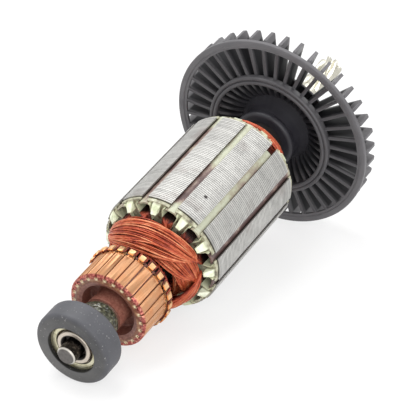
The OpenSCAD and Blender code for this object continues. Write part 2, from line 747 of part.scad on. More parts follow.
fan_r = fan_d / 2;
rim_inner_r = fan_r - rim_band;
collar_r = collar_d / 2;
collar_round = 1.5;
neck_r = collar_r - 0.9;
back_plate_r = back_plate_d / 2;
inner_ring_r = inner_ring_d / 2;
blade_rear_z = fan_front_z - blade_depth;
plate_front_z = blade_rear_z + 1.1;

// Hub with a rounded collar whose neck sweeps out like a trumpet into the back plate
module fan_hub() {
    neck_z = collar_front_z - 2 * collar_round - 0.4;
    sweep = 12;
    turned(concat(
        [[shaft_r, collar_front_z], [collar_r - collar_round, collar_front_z]],
        arc(collar_r - collar_round, collar_front_z - collar_round, collar_round, 90, -35, 8),
        [for (i = [0 : sweep]) let (a = 180 + 90 * i / sweep)
            [back_plate_r + (back_plate_r - neck_r) * cos(a),
             neck_z + (neck_z - plate_front_z) * sin(a)]],
        [[back_plate_r, fan_rear_z + 0.3], [back_plate_r - 0.3, fan_rear_z],
         [shaft_r, fan_rear_z]]), 120);
}

// Flat band with a ledge along its inner edge, just proud of the blades
module fan_rim() {
    ledge_w = 0.9;
    ledge_z = fan_front_z - 0.4;
    turned(concat(
        arc(fan_r - rim_round, fan_front_z - rim_round, rim_round, 0, 90, 3),
        [[rim_inner_r + ledge_w + 0.2, fan_front_z], [rim_inner_r + ledge_w, ledge_z],
         [rim_inner_r, ledge_z], [rim_inner_r, fan_front_z - rim_t],
         [fan_r, fan_front_z - rim_t]]), 120);
}

// Two rounded beads with a groove between them
module fan_inner_ring() {
    bead_r = inner_ring_band / 4;
    inner_r = inner_ring_r - inner_ring_band;
    bead_z = fan_front_z + 1.7 - bead_r;
    turned(concat(
        arc(inner_ring_r - bead_r, bead_z, bead_r, 0, 160, 6),
        arc(inner_r + bead_r, bead_z + 0.25, bead_r, 20, 180, 6),
        [[inner_r + 0.5, fan_front_z - 1.4], [inner_ring_r - 0.5, fan_front_z - 1.4]]), 120);
}

// Flat radial blade: shallow over the hub, full depth under the rim, free at its rear corner
module fan_blade() {
    front_z = fan_front_z - 0.5;
    tip_r = fan_r - tip_inset;
    tip_round = 0.8;
    inner_r = inner_ring_r - inner_ring_band + 0.4;
    start_r = mix(neck_r, back_plate_r, 0.22);
    start_z = fan_front_z - 4.6;
    rotate([90, 0, 90]) translate([0, 0, -blade_t / 2]) linear_extrude(height = blade_t)
        polygon(concat(
            [[start_r - 0.6, start_z - 4]],
            [for (i = [0 : 5]) let (t = i / 5)
                [mix(start_r, inner_r, t), mix(start_z, front_z, pow(t, 0.6))]],
            [[rim_inner_r + 0.3, front_z], [rim_inner_r + 0.6, fan_front_z - rim_t + 0.2],
             [fan_r - 1.4, fan_front_z - rim_t + 0.2]],
            [[tip_r, fan_front_z - rim_t - 1.2]],
            arc(tip_r - tip_round, blade_rear_z + tip_round, tip_round, 0, -90, 4),
            [[back_plate_r - 2, blade_rear_z], [start_r - 0.6, blade_rear_z + 0.6]]));
}

// Moulded in one piece and pressed on the shaft
module fan() {
    color([0.20, 0.20, 0.21]) in_rest_pose() union() {
        fan_hub();
        fan_rim();
        fan_inner_ring();
        around(blade_count) fan_blade();
    }
}

// ------------------------------------------------------------------------------------------ parts

shaft();
shaft_sleeve();
resin_collar();
lamination_core();
end_insulator_front();
end_insulator_rear();
for (i = [0 : slot_count - 1]) {
    slot_liner(i);
    slot_wedge(i);
    coil(i);
}
coil_leads();
commutator_bars();
commutator_moulding();
fan();
bearing_inner_race();
bearing_outer_race();
bearing_balls();
bearing_cage();
bearing_shield_front();
bearing_shield_rear();
bearing_ring();
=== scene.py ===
import json
import math
import random

import bmesh
import bpy
import numpy as np
from mathutils import Matrix, Vector, noise


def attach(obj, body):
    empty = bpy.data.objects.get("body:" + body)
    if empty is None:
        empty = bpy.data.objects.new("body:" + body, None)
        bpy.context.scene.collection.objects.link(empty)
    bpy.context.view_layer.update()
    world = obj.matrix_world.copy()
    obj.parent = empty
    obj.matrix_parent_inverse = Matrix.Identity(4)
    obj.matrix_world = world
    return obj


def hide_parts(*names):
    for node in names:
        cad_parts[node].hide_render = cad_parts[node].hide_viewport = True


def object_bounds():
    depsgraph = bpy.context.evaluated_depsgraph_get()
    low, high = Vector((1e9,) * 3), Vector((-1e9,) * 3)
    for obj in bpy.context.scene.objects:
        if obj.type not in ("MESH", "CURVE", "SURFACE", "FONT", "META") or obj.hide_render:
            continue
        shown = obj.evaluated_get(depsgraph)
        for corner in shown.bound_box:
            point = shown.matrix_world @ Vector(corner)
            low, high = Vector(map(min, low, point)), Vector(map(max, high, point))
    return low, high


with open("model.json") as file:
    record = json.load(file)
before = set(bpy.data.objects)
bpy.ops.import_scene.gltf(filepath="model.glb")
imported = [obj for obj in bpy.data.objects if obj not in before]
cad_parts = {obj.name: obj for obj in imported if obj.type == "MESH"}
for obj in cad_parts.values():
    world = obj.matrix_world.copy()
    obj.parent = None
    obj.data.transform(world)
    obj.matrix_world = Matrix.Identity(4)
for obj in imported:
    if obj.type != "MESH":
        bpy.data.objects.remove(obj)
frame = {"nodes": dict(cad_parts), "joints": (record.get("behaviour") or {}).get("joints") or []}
cad_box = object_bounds()

# ==================================================================================== shaft line
# The armature lies on its fan rim and bearing ring, so its shaft slopes down to the commutator
# end. Pieces are made about an upright shaft, in metres: the station along it is counted from
# the core's rear face, and y points to the side that faces up.

spin = next(joint for joint in frame["joints"] if joint["name"] == "outer_spin")
ahead = Vector(spin["axis"]).normalized()
across = Vector((1, 0, 0))
lay_turn = Matrix((across, ahead.cross(across), ahead)).transposed()


def about_shaft(node, origin):
    """Vertices of a node in the upright shaft's own x, y and station."""
    corners = np.array([v.co for v in frame["nodes"][node].data.vertices])
    return (corners - np.array(origin)) @ np.array(lay_turn)


bearing_middle = Vector(spin["pos_m"])
to_core = float(about_shaft("lamination_core", bearing_middle)[:, 2].min())
shaft_origin = bearing_middle + ahead * to_core

# ========================================================================================= shaft
# One steel bar, turned and ground. From inside the bearing to its free tip it is painted dark,
# with a grey face and a bright edge at the tip, and the pinion cut on the other end is bright
# and oily.


def reach(node):
    """Lowest and highest station, and smallest and largest radius, of a node."""
    place = about_shaft(node, shaft_origin)
    radius = np.hypot(place[:, 0], place[:, 1])
    return tuple(map(float, (place[:, 2].min(), place[:, 2].max(), radius.min(), radius.max())))


def add(tree, kind, links=None, **settings):
    """A node with its settings; each input is linked to a socket or given a plain value."""
    made = tree.nodes.new(kind)
    for setting, value in settings.items():
        setattr(made, setting, value)
    for socket, value in (links or {}).items():
        if isinstance(value, bpy.types.NodeSocket):
            tree.links.new(value, made.inputs[socket])
        else:
            made.inputs[socket].default_value = value
    return made


def tone(red, green, blue):
    """Colour as it shows on a screen, 0 to 255, in the renderer's own linear values."""
    return (*((c / 255) ** 2.2 for c in (red, green, blue)), 1.0)


def finish(name, roughness, metallic=0.0, **plain):
    """Material with a Principled surface, and its tree."""
    material = bpy.data.materials.new(name)
    material.use_nodes = True
    tree = material.node_tree
    surface = tree.nodes["Principled BSDF"]
    surface.inputs["Metallic"].default_value = metallic
    surface.inputs["Roughness"].default_value = roughness
    for label, value in plain.items():
        surface.inputs[label.replace("_", " ")].default_value = value
    return material, tree, surface


def calc(tree, operation, *values):
    """Maths node on one or more sockets or plain values."""
    return add(tree, "ShaderNodeMath", dict(enumerate(values)), operation=operation).outputs[0]


def stretch(tree, vector, *shares):
    """Vector scaled apart in x, y and z, to draw a pattern out along one of them."""
    return add(tree, "ShaderNodeVectorMath", {0: vector, 1: shares},
               operation="MULTIPLY").outputs[0]


def shaft_place(tree):
    """Sockets for the place on the upright shaft: its vector, station, radius and angle."""
    local = add(tree, "ShaderNodeTexCoord").outputs["Object"]
    turned = add(tree, "ShaderNodeMapping", {
        "Vector": local, "Location": shaft_origin, "Rotation": lay_turn.to_euler()},
        vector_type="TEXTURE").outputs["Vector"]
    split = add(tree, "ShaderNodeSeparateXYZ", {0: turned})
    angle = calc(tree, "ARCTAN2", calc(tree, "MULTIPLY", split.outputs["X"], -1.0),
                 split.outputs["Y"])
    across_shaft = stretch(tree, turned, 1.0, 1.0, 0.0)
    radius = add(tree, "ShaderNodeVectorMath", {0: across_shaft}, operation="LENGTH").outputs[1]
    return turned, split.outputs["Z"], radius, angle


def ramp(tree, factor, *stops):
    """Colour that runs through the stops, each a position and a colour."""
    made = add(tree, "ShaderNodeValToRGB", {"Fac": factor})
    while len(made.color_ramp.elements) < len(stops):
        made.color_ramp.elements.new(0.5)
    for element, (position, colour) in zip(made.color_ramp.elements, stops):
        element.position = position
        element.color = colour
    return made.outputs["Color"]


def span(tree, value, low, high, out_low=0.0, out_high=1.0):
    """Maps a value from low..high to out_low..out_high, clamped."""
    return add(tree, "ShaderNodeMapRange", {
        "Value": value, "From Min": low, "From Max": high,
        "To Min": out_low, "To Max": out_high}).outputs["Result"]


def speckle(tree, vector, scale, detail=3.0, roughness=0.5):
    """Noise from 0 to 1; the scale counts its features in each metre."""
    return add(tree, "ShaderNodeTexNoise", {
        "Vector": vector, "Scale": scale, "Detail": detail,
        "Roughness": roughness}).outputs["Fac"]


def blend(tree, factor, low, high):
    """Mix of two colours."""
    return add(tree, "ShaderNodeMix", {0: factor, 6: low, 7: high}, data_type="RGBA").outputs[2]


def raise_surface(tree, surface, height, distance, strength=1.0):
    """Bump on a surface; the distance is the full height in metres."""
    bump = add(tree, "ShaderNodeBump", {
        "Height": height, "Distance": distance, "Strength": strength})
    tree.links.new(bump.outputs["Normal"], surface.inputs["Normal"])


def paint(tree, surface, colour, roughness=None):
    """Links a colour, and a roughness where it varies, to a surface."""
    tree.links.new(colour, surface.inputs["Base Color"])
    if roughness is not None:
        tree.links.new(roughness, surface.inputs["Roughness"])


def dress(node, material):
    """Gives a node that keeps its own shape its finish."""
    piece = frame["nodes"][node]
    piece.data.materials.clear()
    piece.data.materials.append(material)


shaft_front = reach("shaft")[1]
dark_from, dark_by = 0.086, 0.092
shaft_steel, tree, surface = finish("shaft steel", 0.34, metallic=1.0)
place, station, *_ = shaft_place(tree)
rings = speckle(tree, stretch(tree, place, 0.06, 0.06, 1.0), 5200.0, 2.0)
grime = speckle(tree, place, 900.0, 5.0)
bright = blend(tree, rings, tone(184, 181, 168), tone(214, 211, 198))
dark = ramp(tree, grime, (0.30, tone(38, 35, 34)), (0.55, tone(76, 71, 68)),
            (0.72, tone(150, 143, 134)))
face = blend(tree, grime, tone(78, 75, 74), tone(126, 122, 119))
at_edge = span(tree, station, shaft_front - 0.0009, shaft_front - 0.0006)
at_face = span(tree, station, shaft_front - 0.0004, shaft_front - 0.0002)
tip = blend(tree, at_face, blend(tree, at_edge, dark, tone(206, 201, 192)), face)
paint(tree, surface, blend(tree, span(tree, station, dark_from, dark_by), bright, tip),
      span(tree, station, dark_from, dark_by, 0.24, 0.38))
raise_surface(tree, surface, rings, 0.00002, 0.4)
dress("shaft", shaft_steel)

# ================================================================================== shaft sleeve
# Tube of dark moulded plastic, pressed on the shaft under the core. It keeps the steel of the
# shaft apart from the core and the winding, and only its ends show. They lie in the shade of the
# winding and the fan's hub, and the plastic is painted darker still, near black, as that shade.

sleeve_moulding, tree, surface = finish("sleeve moulding", 0.5)
place, *_ = shaft_place(tree)
# Painted shade: the plastic is near black.
paint(tree, surface, blend(tree, speckle(tree, place, 700.0), tone(18, 15, 15),
                           tone(32, 27, 26)))
dress("shaft_sleeve", sleeve_moulding)

# =============================================================================== lamination core
# A stack of thin steel sheets, each punched with twelve slots and parted from its neighbours by
# a thin gap. The outside is turned once the sheets are pressed on the shaft, and since then it
# has been knocked once and has stained a little. Inside the turned outside, in the slots and in
# the gaps between sheets, the steel is painted dark as shade.

core_rear, core_front, core_bore_r, core_r = reach("lamination_core")
sheet_count = 60
sheet_pitch = (core_front - core_rear) / sheet_count
steel_share = 0.78
sheet_thickness = sheet_pitch * steel_share
sheet_sway = 0.0008
slot_count = 12
slot_turn = 2 * math.pi / slot_count
slot_phase = math.radians(11)
slot_mouth = 0.0025
tooth_tip = 0.0011
slot_width = 0.0059
slot_floor_r = 0.0100
slot_floor_width = 0.0025
tooth_steps = 7
bore_steps = 24
lay = Matrix.Translation(shaft_origin) @ lay_turn.to_4x4()


def turned_point(radius, angle, station):
    """A point about the upright shaft; the angle runs from the upper side towards -x."""
    return Vector((-radius * math.sin(angle), radius * math.cos(angle), station))


def slot_outline():
    """Half of a slot's outline, from its mouth to its floor, as x and radius."""
    corner = slot_width / 2
    return [(slot_mouth / 2, core_r - tooth_tip),
            (corner - 0.0008, core_r - tooth_tip - 0.0002),
            (corner - 0.0001, core_r - tooth_tip - 0.0010),
            (slot_floor_width / 2, slot_floor_r + 0.0010),
            (slot_floor_width / 4, slot_floor_r + 0.0001)]


def sheet_outline(station):
    """One lamination's outer edge: tooth arcs between twelve half-closed slots."""
    mouth_angle = math.asin(slot_mouth / 2 / core_r)
    half = slot_outline()
    points = []
    for index in range(slot_count):
        centre = slot_phase + index * slot_turn
        turn = Matrix.Rotation(centre, 3, "Z")
        points += [turn @ Vector((x, y, station)) for x, y in half]
        points += [turn @ Vector((-x, y, station)) for x, y in reversed(half)]
        first = centre + mouth_angle
        last = centre + slot_turn - mouth_angle
        points += [turned_point(core_r, first + (last - first) * k / tooth_steps, station)
                   for k in range(tooth_steps + 1)]
    return points


def join_loops(body, loops):
    """Adds the faces between each loop of corners and the next."""
    for low, high in zip(loops, loops[1:]):
        for k in range(len(low)):
            body.faces.new((low[k - 1], low[k], high[k], high[k - 1]))


def object_of(data, name):
    """New object of a mesh, a lamp or a camera, linked to the scene."""
    piece = bpy.data.objects.new(name, data)
    bpy.context.scene.collection.objects.link(piece)
    return piece


def shape_tree(name, **inputs):
    """Geometry tree with named inputs, its first node and its output node."""
    kinds = {float: "NodeSocketFloat", int: "NodeSocketInt",
             bpy.types.Material: "NodeSocketMaterial"}
    tree = bpy.data.node_groups.new(name, "GeometryNodeTree")
    tree.interface.new_socket("Geometry", in_out="INPUT", socket_type="NodeSocketGeometry")
    for label, value in inputs.items():
        socket = tree.interface.new_socket(
            label.replace("_", " "), in_out="INPUT", socket_type=kinds[type(value)])
        socket.default_value = value
    tree.interface.new_socket("Geometry", in_out="OUTPUT", socket_type="NodeSocketGeometry")
    return tree, tree.nodes.new("NodeGroupInput").outputs, tree.nodes.new("NodeGroupOutput")


def close_tree(tree, geometry, material, result):
    """Ends a geometry tree: its instances are made real and take their material."""
    real = add(tree, "GeometryNodeRealizeInstances", {0: geometry})
    coated = add(tree, "GeometryNodeSetMaterial", {
        "Geometry": real.outputs[0], "Material": material})
    tree.links.new(coated.outputs[0], result.inputs[0])


def grow(mesh, tree, name, **inputs):
    """Runs a geometry tree on a mesh and keeps the result as a plain piece, laid down."""
    seed = object_of(mesh, name + "_seed")
    modifier = seed.modifiers.new("shape", "NODES")
    modifier.node_group = tree
    for item in tree.interface.items_tree:
        key = item.name.replace(" ", "_")
        if item.in_out == "INPUT" and key in inputs:
            modifier[item.identifier] = inputs[key]
    depsgraph = bpy.context.evaluated_depsgraph_get()
    grown = bpy.data.meshes.new_from_object(seed.evaluated_get(depsgraph))
    seed.modifiers.remove(modifier)
    bpy.data.objects.remove(seed)
    grown.transform(lay)
    grown.name = name
    return object_of(grown, name)


def fit(piece, body, slot, *nodes):
    """The piece rides on a body and stands for the nodes; the slot is not used."""
    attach(piece, body)
    if nodes:
        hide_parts(*nodes)


core_steel, tree, surface = finish("core steel", 0.42, metallic=0.7)
place, _, radius, _ = shaft_place(tree)
sheet_shade = add(tree, "ShaderNodeAttribute", attribute_name="sheet_shade").outputs["Fac"]
streaks = speckle(tree, place, 260.0, 6.0, 0.65)
steel = blend(tree, sheet_shade, tone(160, 159, 156), tone(194, 193, 189))
worn = blend(tree, span(tree, streaks, 0.35, 0.75), steel, tone(199, 198, 194))
stained = blend(tree, span(tree, speckle(tree, place, 90.0, 5.0), 0.56, 0.80), worn,
                tone(150, 142, 138))
knock = turned_point(core_r, math.radians(-34), core_rear + 0.0369)
from_knock = add(tree, "ShaderNodeVectorMath", {0: place, 1: knock},
                 operation="DISTANCE").outputs["Value"]
scuffed = blend(tree, span(tree, from_knock, 0.0004, 0.0009, 1.0, 0.0), stained, tone(70, 66, 66))
# Painted shade: below the turned outside, in the slots and the gaps between sheets, the steel is
# dark.
outside = span(tree, radius, core_r - 0.0007, core_r - 0.0002)
paint(tree, surface, blend(tree, outside, tone(66, 60, 54), scuffed),
      span(tree, streaks, 0.3, 0.7, 0.46, 0.34))

sheet = bmesh.new()
sheet_sides = []
for station in (0, sheet_thickness):
    outer = [sheet.verts.new(point) for point in sheet_outline(station)]
    bore = [sheet.verts.new(turned_point(core_bore_r, 2 * math.pi * k / bore_steps, station))
            for k in range(bore_steps)]
    edges = [sheet.edges.new((ring[k - 1], ring[k]))
             for ring in (outer, bore) for k in range(len(ring))]
    bmesh.ops.triangle_fill(sheet, edges=edges, use_beauty=True)
    sheet_sides.append((outer, bore))
for rings in zip(*sheet_sides):
    join_loops(sheet, rings)
bmesh.ops.recalc_face_normals(sheet, faces=sheet.faces)
sheet_mesh = bpy.data.meshes.new("sheet")
sheet.to_mesh(sheet_mesh)
sheet.free()

stack, given, result = shape_tree(
    "Lamination stack", Sheets=sheet_count, Pitch=sheet_pitch, Sway=sheet_sway, Seed=4,
    Steel=core_steel)
line = add(stack, "GeometryNodeMeshLine", {
    "Count": given["Sheets"],
    "Offset": add(stack, "ShaderNodeCombineXYZ", {"Z": given["Pitch"]}).outputs[0]})
shade = add(stack, "FunctionNodeRandomValue", {"Seed": given["Seed"]}, data_type="FLOAT")
marked = add(stack, "GeometryNodeStoreNamedAttribute", {
    "Geometry": line.outputs[0], "Name": "sheet_shade", "Value": shade.outputs[1]},
    data_type="FLOAT", domain="POINT")
swell = add(stack, "FunctionNodeRandomValue", {
    2: calc(stack, "SUBTRACT", 1.0, given["Sway"]), 3: 1.0, "Seed": given["Seed"]},
    data_type="FLOAT")
scale = add(stack, "ShaderNodeCombineXYZ", {
    "X": swell.outputs[1], "Y": swell.outputs[1], "Z": 1.0})
placed = add(stack, "GeometryNodeInstanceOnPoints", {
    "Points": marked.outputs[0], "Instance": given["Geometry"], "Scale": scale.outputs[0]})
close_tree(stack, placed.outputs[0], given["Steel"], result)
laminations = grow(sheet_mesh, stack, "laminations")
fit(laminations, "rotor", "core_steel", "lamination_core")

# ================================================================================ end insulators
# Fibre plates laid against both ends of the core, grey-green under varnish, with a pale moulded
# lug standing on each tooth to hold the coils back.


def eased_copy(node, name, edge):
    """Copy of a node with welded corners, its sharp edges broken by a small radius."""
    sharp = math.radians(32)
    mesh = frame["nodes"][node].data.copy()
    mesh.materials.clear()
    mesh.name = name
    body = bmesh.new()
    body.from_mesh(mesh)
    bmesh.ops.remove_doubles(body, verts=body.verts, dist=0.000002)
    bmesh.ops.dissolve_limit(body, angle_limit=math.radians(1), verts=body.verts, edges=body.edges)
    body.to_mesh(mesh)
    body.free()
    piece = object_of(mesh, name)
    bevel = piece.modifiers.new("eased edges", "BEVEL")
    bevel.width = edge
    bevel.segments = 2
    bevel.angle_limit = sharp
    bevel.harden_normals = True
    depsgraph = bpy.context.evaluated_depsgraph_get()
    eased = bpy.data.meshes.new_from_object(piece.evaluated_get(depsgraph))
    piece.modifiers.clear()
    piece.data = eased
    piece.data.shade_smooth()
    piece.data.set_sharp_from_angle(angle=sharp)
    return piece


insulation_board, tree, surface = finish("insulation board", 0.48, Coat_Weight=0.15)
place, station, *_ = shaft_place(tree)
mottle = speckle(tree, place, 520.0, 5.0)
board = ramp(tree, mottle, (0.30, tone(84, 80, 66)), (0.42, tone(136, 131, 110)),
             (0.56, tone(172, 170, 144)), (0.72, tone(208, 210, 186)))
lug = ramp(tree, speckle(tree, place, 340.0, 4.0), (0.28, tone(184, 190, 152)),
           (0.46, tone(217, 223, 191)), (0.62, tone(237, 242, 218)))
plate_face = core_front + 0.0013
on_lug = calc(tree, "MAXIMUM", span(tree, station, plate_face + 0.0003, plate_face + 0.0009),
              span(tree, station, core_rear - 0.0022, core_rear - 0.0016, 1.0, 0.0))
paint(tree, surface, blend(tree, on_lug, board, lug))
raise_surface(tree, surface, mottle, 0.00012, 0.6)
for end in ("front", "rear"):
    plate = eased_copy(f"end_insulator_{end}", f"end_plate_{end}", edge=0.00016)
    plate.data.materials.append(insulation_board)
    fit(plate, "rotor", "insulation_board", f"end_insulator_{end}")

# =========================================================================== commutator moulding
# Body of dark reddish-brown phenolic, moulded round the feet of the bars and pressed on the
# shaft. A narrow lip stands round the deep recess in its front, with a pale fleck of insulation
# at each seam between two bars. The recess is painted darker than the body, as shade.

bar_count = 24
bar_turn = 2 * math.pi / bar_count
moulding_front = core_front + 0.0332
recess_r = 0.0101
lip_r = 0.0107
fleck_r = 0.0115


def between_bars(tree, angle, inner, outer):
    """1 at the seams between the bars, fading to 0 from inner to outer, as shares of a bar."""
    turns = calc(tree, "DIVIDE", calc(tree, "SUBTRACT", angle, slot_phase), bar_turn)
    share = calc(tree, "FRACT", calc(tree, "ADD", turns, bar_count + 0.5))
    offset = calc(tree, "ABSOLUTE", calc(tree, "SUBTRACT", share, 0.5))
    return span(tree, offset, inner, outer, 1.0, 0.0)


phenolic, tree, surface = finish("phenolic", 0.42, Coat_Weight=0.1)
place, station, radius, angle = shaft_place(tree)
dust = speckle(tree, place, 1300.0, 5.0)
coarse = speckle(tree, place, 700.0, 3.0)
body = ramp(tree, dust, (0.30, tone(118, 70, 62)), (0.55, tone(152, 102, 88)),
            (0.72, tone(176, 130, 112)), (0.84, tone(212, 182, 158)))
# Painted shade: the recess is darker than the body.
recess_shade = span(tree, radius, recess_r, recess_r + 0.0004, 0.45, 0.0)
lip = ramp(tree, coarse, (0.34, tone(108, 64, 49)), (0.52, tone(136, 90, 68)),
           (0.66, tone(172, 132, 100)))
on_lip = calc(tree, "MULTIPLY", span(tree, radius, lip_r, lip_r + 0.0002),
              span(tree, station, moulding_front - 0.0006, moulding_front - 0.0002))
fleck = calc(tree, "MULTIPLY", between_bars(tree, angle, 0.08, 0.22),
             calc(tree, "MULTIPLY", on_lip, span(tree, radius, fleck_r, fleck_r + 0.0003)))
moulding = blend(tree, on_lip, blend(tree, recess_shade, body, tone(112, 66, 55)), lip)
paint(tree, surface, blend(tree, fleck, moulding, tone(236, 220, 182)))
raise_surface(tree, surface, dust, 0.00006, 0.5)
dress("commutator_moulding", phenolic)

# =============================================================================== commutator bars
# Hard copper bars, held in the moulding by dovetail feet and skimmed bright on the brush track.
# Their front chamfer has oxidised pink, and each bar's hook is folded forward over its two leads
# and welded shut. The hollows under and between the hooks are painted near black as shade.

bars_front = reach("commutator_bars")[1]
track_rear = bars_front - 0.0121
track_r = 0.0137
commutator_copper, tree, surface = finish("commutator copper", 0.42, metallic=0.5)
place, station, radius, angle = shaft_place(tree)
skim = speckle(tree, stretch(tree, place, 0.10, 0.10, 1.0), 6000.0, 3.0)
blotch = speckle(tree, place, 330.0, 4.0)
bright = blend(tree, skim, tone(183, 131, 93), tone(199, 150, 111))
warm = blend(tree, span(tree, blotch, 0.45, 0.75), bright, tone(193, 132, 89))
chamfer = span(tree, station, bars_front - 0.0009, bars_front - 0.0005)
oxide = ramp(tree, speckle(tree, place, 1500.0, 4.0), (0.36, tone(122, 50, 50)),
             (0.52, tone(176, 92, 84)), (0.66, tone(214, 148, 126)))
edge_band = calc(tree, "MULTIPLY", between_bars(tree, angle, 0.12, 0.26),
            span(tree, radius, track_r - 0.0013, track_r - 0.0009, 1.0, 0.0))
pink = blend(tree, edge_band, oxide, tone(232, 214, 176))
edge = span(tree, station, track_rear, track_rear + 0.0004, 1.0, 0.0)
hooked = span(tree, station, track_rear - 0.0004, track_rear, 1.0, 0.0)
# Painted shade: below the track radius, under and between the hooks, the copper is near black.
painted_shade_depth = span(tree, radius, track_r - 0.0013, track_r - 0.0008, 1.0, 0.0)
gold = blend(tree, blotch, tone(196, 140, 90), tone(232, 196, 150))
tangs = blend(tree, painted_shade_depth, gold, tone(48, 30, 22))
track = blend(tree, edge, blend(tree, chamfer, warm, pink), tone(222, 130, 58))
paint(tree, surface, blend(tree, hooked, track, tangs), span(tree, blotch, 0.3, 0.7, 0.34, 0.46))
raise_surface(tree, surface, skim, 0.00002, 0.35)
bars = eased_copy("commutator_bars", "copper_bars", edge=0.00009)
bars.data.materials.append(commutator_copper)
fit(bars, "rotor", "commutator_copper", "commutator_bars")

# ================================================================================== slot liners
# Varnished paper, folded into each slot before the coils are wound so that the wires don't
# touch the steel. Only its ends show, past the end plates.

insulation_paper, tree, surface = finish("insulation paper", 0.55)
place, *_ = shaft_place(tree)
paint(tree, surface, blend(tree, speckle(tree, place, 500.0, 4.0), tone(176, 176, 140),
                           tone(222, 226, 196)))
for index in range(slot_count):
    dress(f"slot_liner_{index + 1:02d}", insulation_paper)

# ======================================================================================== coils
# Twelve coils of enamelled copper wire, wound in opposite pairs, each pair over the one before.
# A coil's wires lie packed in its two slots, spread in one broad band over each end of the core
# and cross each other as the winding machine laid them; the last coil leans to its neighbour.
# Each wire has its own tone, and painted shade darkens the deeper wires of a band, the legs near
# the slots and the whole rear end.

wire_r = 0.00022
wires_wide = 8
wires_deep = 8
wire_count = wires_wide * wires_deep
levels = slot_count // 2
half_span = 2.5 * slot_turn
dome_foot_r = core_bore_r + 0.00035
dome_inner_r = 0.0107
dome_outer_r = 0.0171
dome_inner_h = 0.0008
overhang_front = 0.0136
overhang_rear = 0.0090
exit_front = core_front + 0.0025
exit_rear = core_rear - 0.0025
band_top = math.radians(76)
band_foot = math.radians(13)
side_low = (0.0111, 0.0134)
side_high = (0.0140, 0.0163)
side_half_width = 0.0018
side_flare = 0.075
side_floor_r = 0.0112
end_steps = {1: 26, -1: 18}
layer_depths = (0.25, 0.62, 0.97)
band_spread = math.radians(5.5)
leave_share = 0.10
spread_share = 0.22
leaning_coil = 11
leaning_turn = math.radians(17)


def mix(low, high, share):
    """Number between two others."""
    return low + (high - low) * share


def clamp(value, low=0.0, high=1.0):
    """Number held between two others."""
    return min(max(value, low), high)


def smooth(share):
    """Share from 0 to 1, eased at both ends."""
    share = clamp(share)
    return share * share * (3 - 2 * share)


def dome_point(about, up, shell, height):
    """Point of an overhang, above the plane where the coils leave their slots."""
    r = dome_foot_r + (mix(dome_inner_r, dome_outer_r, shell) - dome_foot_r) * math.cos(up)
    return Vector((r * math.sin(about), r * math.cos(about),
                   mix(dome_inner_h, height, shell) * math.sin(up)))


def slot_point(side_angle, u, y):
    """Point of a coil side inside its slot, u across it from -1 to 1 and y up from the shaft."""
    half = side_half_width + (y - side_floor_r) * side_flare
    return Vector((u * half * math.cos(side_angle) + y * math.sin(side_angle),
                   y * math.cos(side_angle) - u * half * math.sin(side_angle), 0))


def wander(rng, size, waves=3):
    """Slow sideways drift of a wire along its half turn."""
    parts = [(rng.uniform(-1, 1) * size / (k + 1), rng.uniform(0, 2 * math.pi), k + 1)
             for k in range(waves)]
    return lambda t: sum(a * math.sin(phase + k * math.pi * t) for a, phase, k in parts)


def wire_point(level, lean, end, t, u, v, v_slot):
    """Point of a wire over one end of the core, as t runs from its left slot to its right."""
    height, start = (overhang_front, exit_front) if end > 0 else (overhang_rear, exit_rear)
    side = -1 if t < 0.5 else 1
    on_top = level > 0 if side < 0 else level == levels - 1
    low, high = side_high if on_top else side_low
    in_slot = slot_point(side * half_span, -side * u, mix(low, high, v_slot))
    in_slot.z = height * 0.5 * min(t, 1 - t) * math.pi
    phi = math.pi * t
    about = -(half_span + (u - 0.2) * (band_spread + 0.2 * lean)) * math.cos(phi)
    if end > 0:
        about -= lean * (0.5 + 0.5 * math.cos(phi))
    up = mix(band_top, band_foot, (u + 1) / 2) * math.sin(phi)
    shell = (level + clamp(v, 0.05, 1.12)) / levels
    place = in_slot.lerp(dome_point(about, up, shell, height),
                         smooth(min(t, 1 - t) / leave_share))
    return Vector((place.x, place.y, start + end * place.z))


def coil_wires(index):
    """Closed loops of points, one for each wire of a coil, and for each point a tone that holds
    painted shade.
    """
    level = index % levels
    centre = slot_phase - slot_turn / 2 + (index - levels + 1) * slot_turn
    turn = Matrix.Rotation(centre, 4, "Z")
    rng = random.Random(100 + index)
    lean, loose = (leaning_turn, 0.4) if index == leaning_coil else (0.0, 1.0)
    tangles = [wander(rng, 0.13 * loose) for _ in range(9)]
    order = list(range(wire_count))
    rng.shuffle(order)
    loops, tones = [], []
    for k in range(wire_count):
        column, row = k % wires_wide, k // wires_wide
        u_slot = mix(-0.86, 0.86, column / (wires_wide - 1)) * (1 if row % 2 else 0.92)
        v_slot = (row + 0.5) / wires_deep
        u_band = mix(-0.98, 0.98, (order[k] + 0.5) / wire_count)
        layer = order[k] % 3
        v_band = layer_depths[layer]
        slant = (layer - 1) * 0.44 * loose + rng.uniform(-0.14, 0.14)
        drift_u, drift_v = wander(rng, 0.08 * loose, 4), wander(rng, 0.24)
        tangle = tangles[order[k] * len(tangles) // wire_count]
        wire_tone = rng.uniform(-0.5, 0.5)
        points = []
        for end, steps in end_steps.items():
            for step in range(steps + 1):
                t = step / steps if end > 0 else 1 - step / steps
                lift = smooth(min(t, 1 - t) / spread_share)
                u = mix(u_slot, u_band + slant * (t - 0.5) + tangle(t + end) + drift_u(t), lift)
                u = clamp(u, -1.05, 1.05)
                v = mix(v_slot, v_band + drift_v(t), lift)
                points.append(turn @ wire_point(level, lean, end, t, u, v, v_slot))
                # Painted shade: wires deeper in the band, the legs near the slots and the rear end
                # get darker tones.
                tones.append(0.5 + 0.42 * wire_tone + 0.42 * (v - 0.6) * lift
                             - 0.2 * (1 - lift) - (0.14 if end < 0 else 0.0))
        loops.append(points)
    return loops, tones


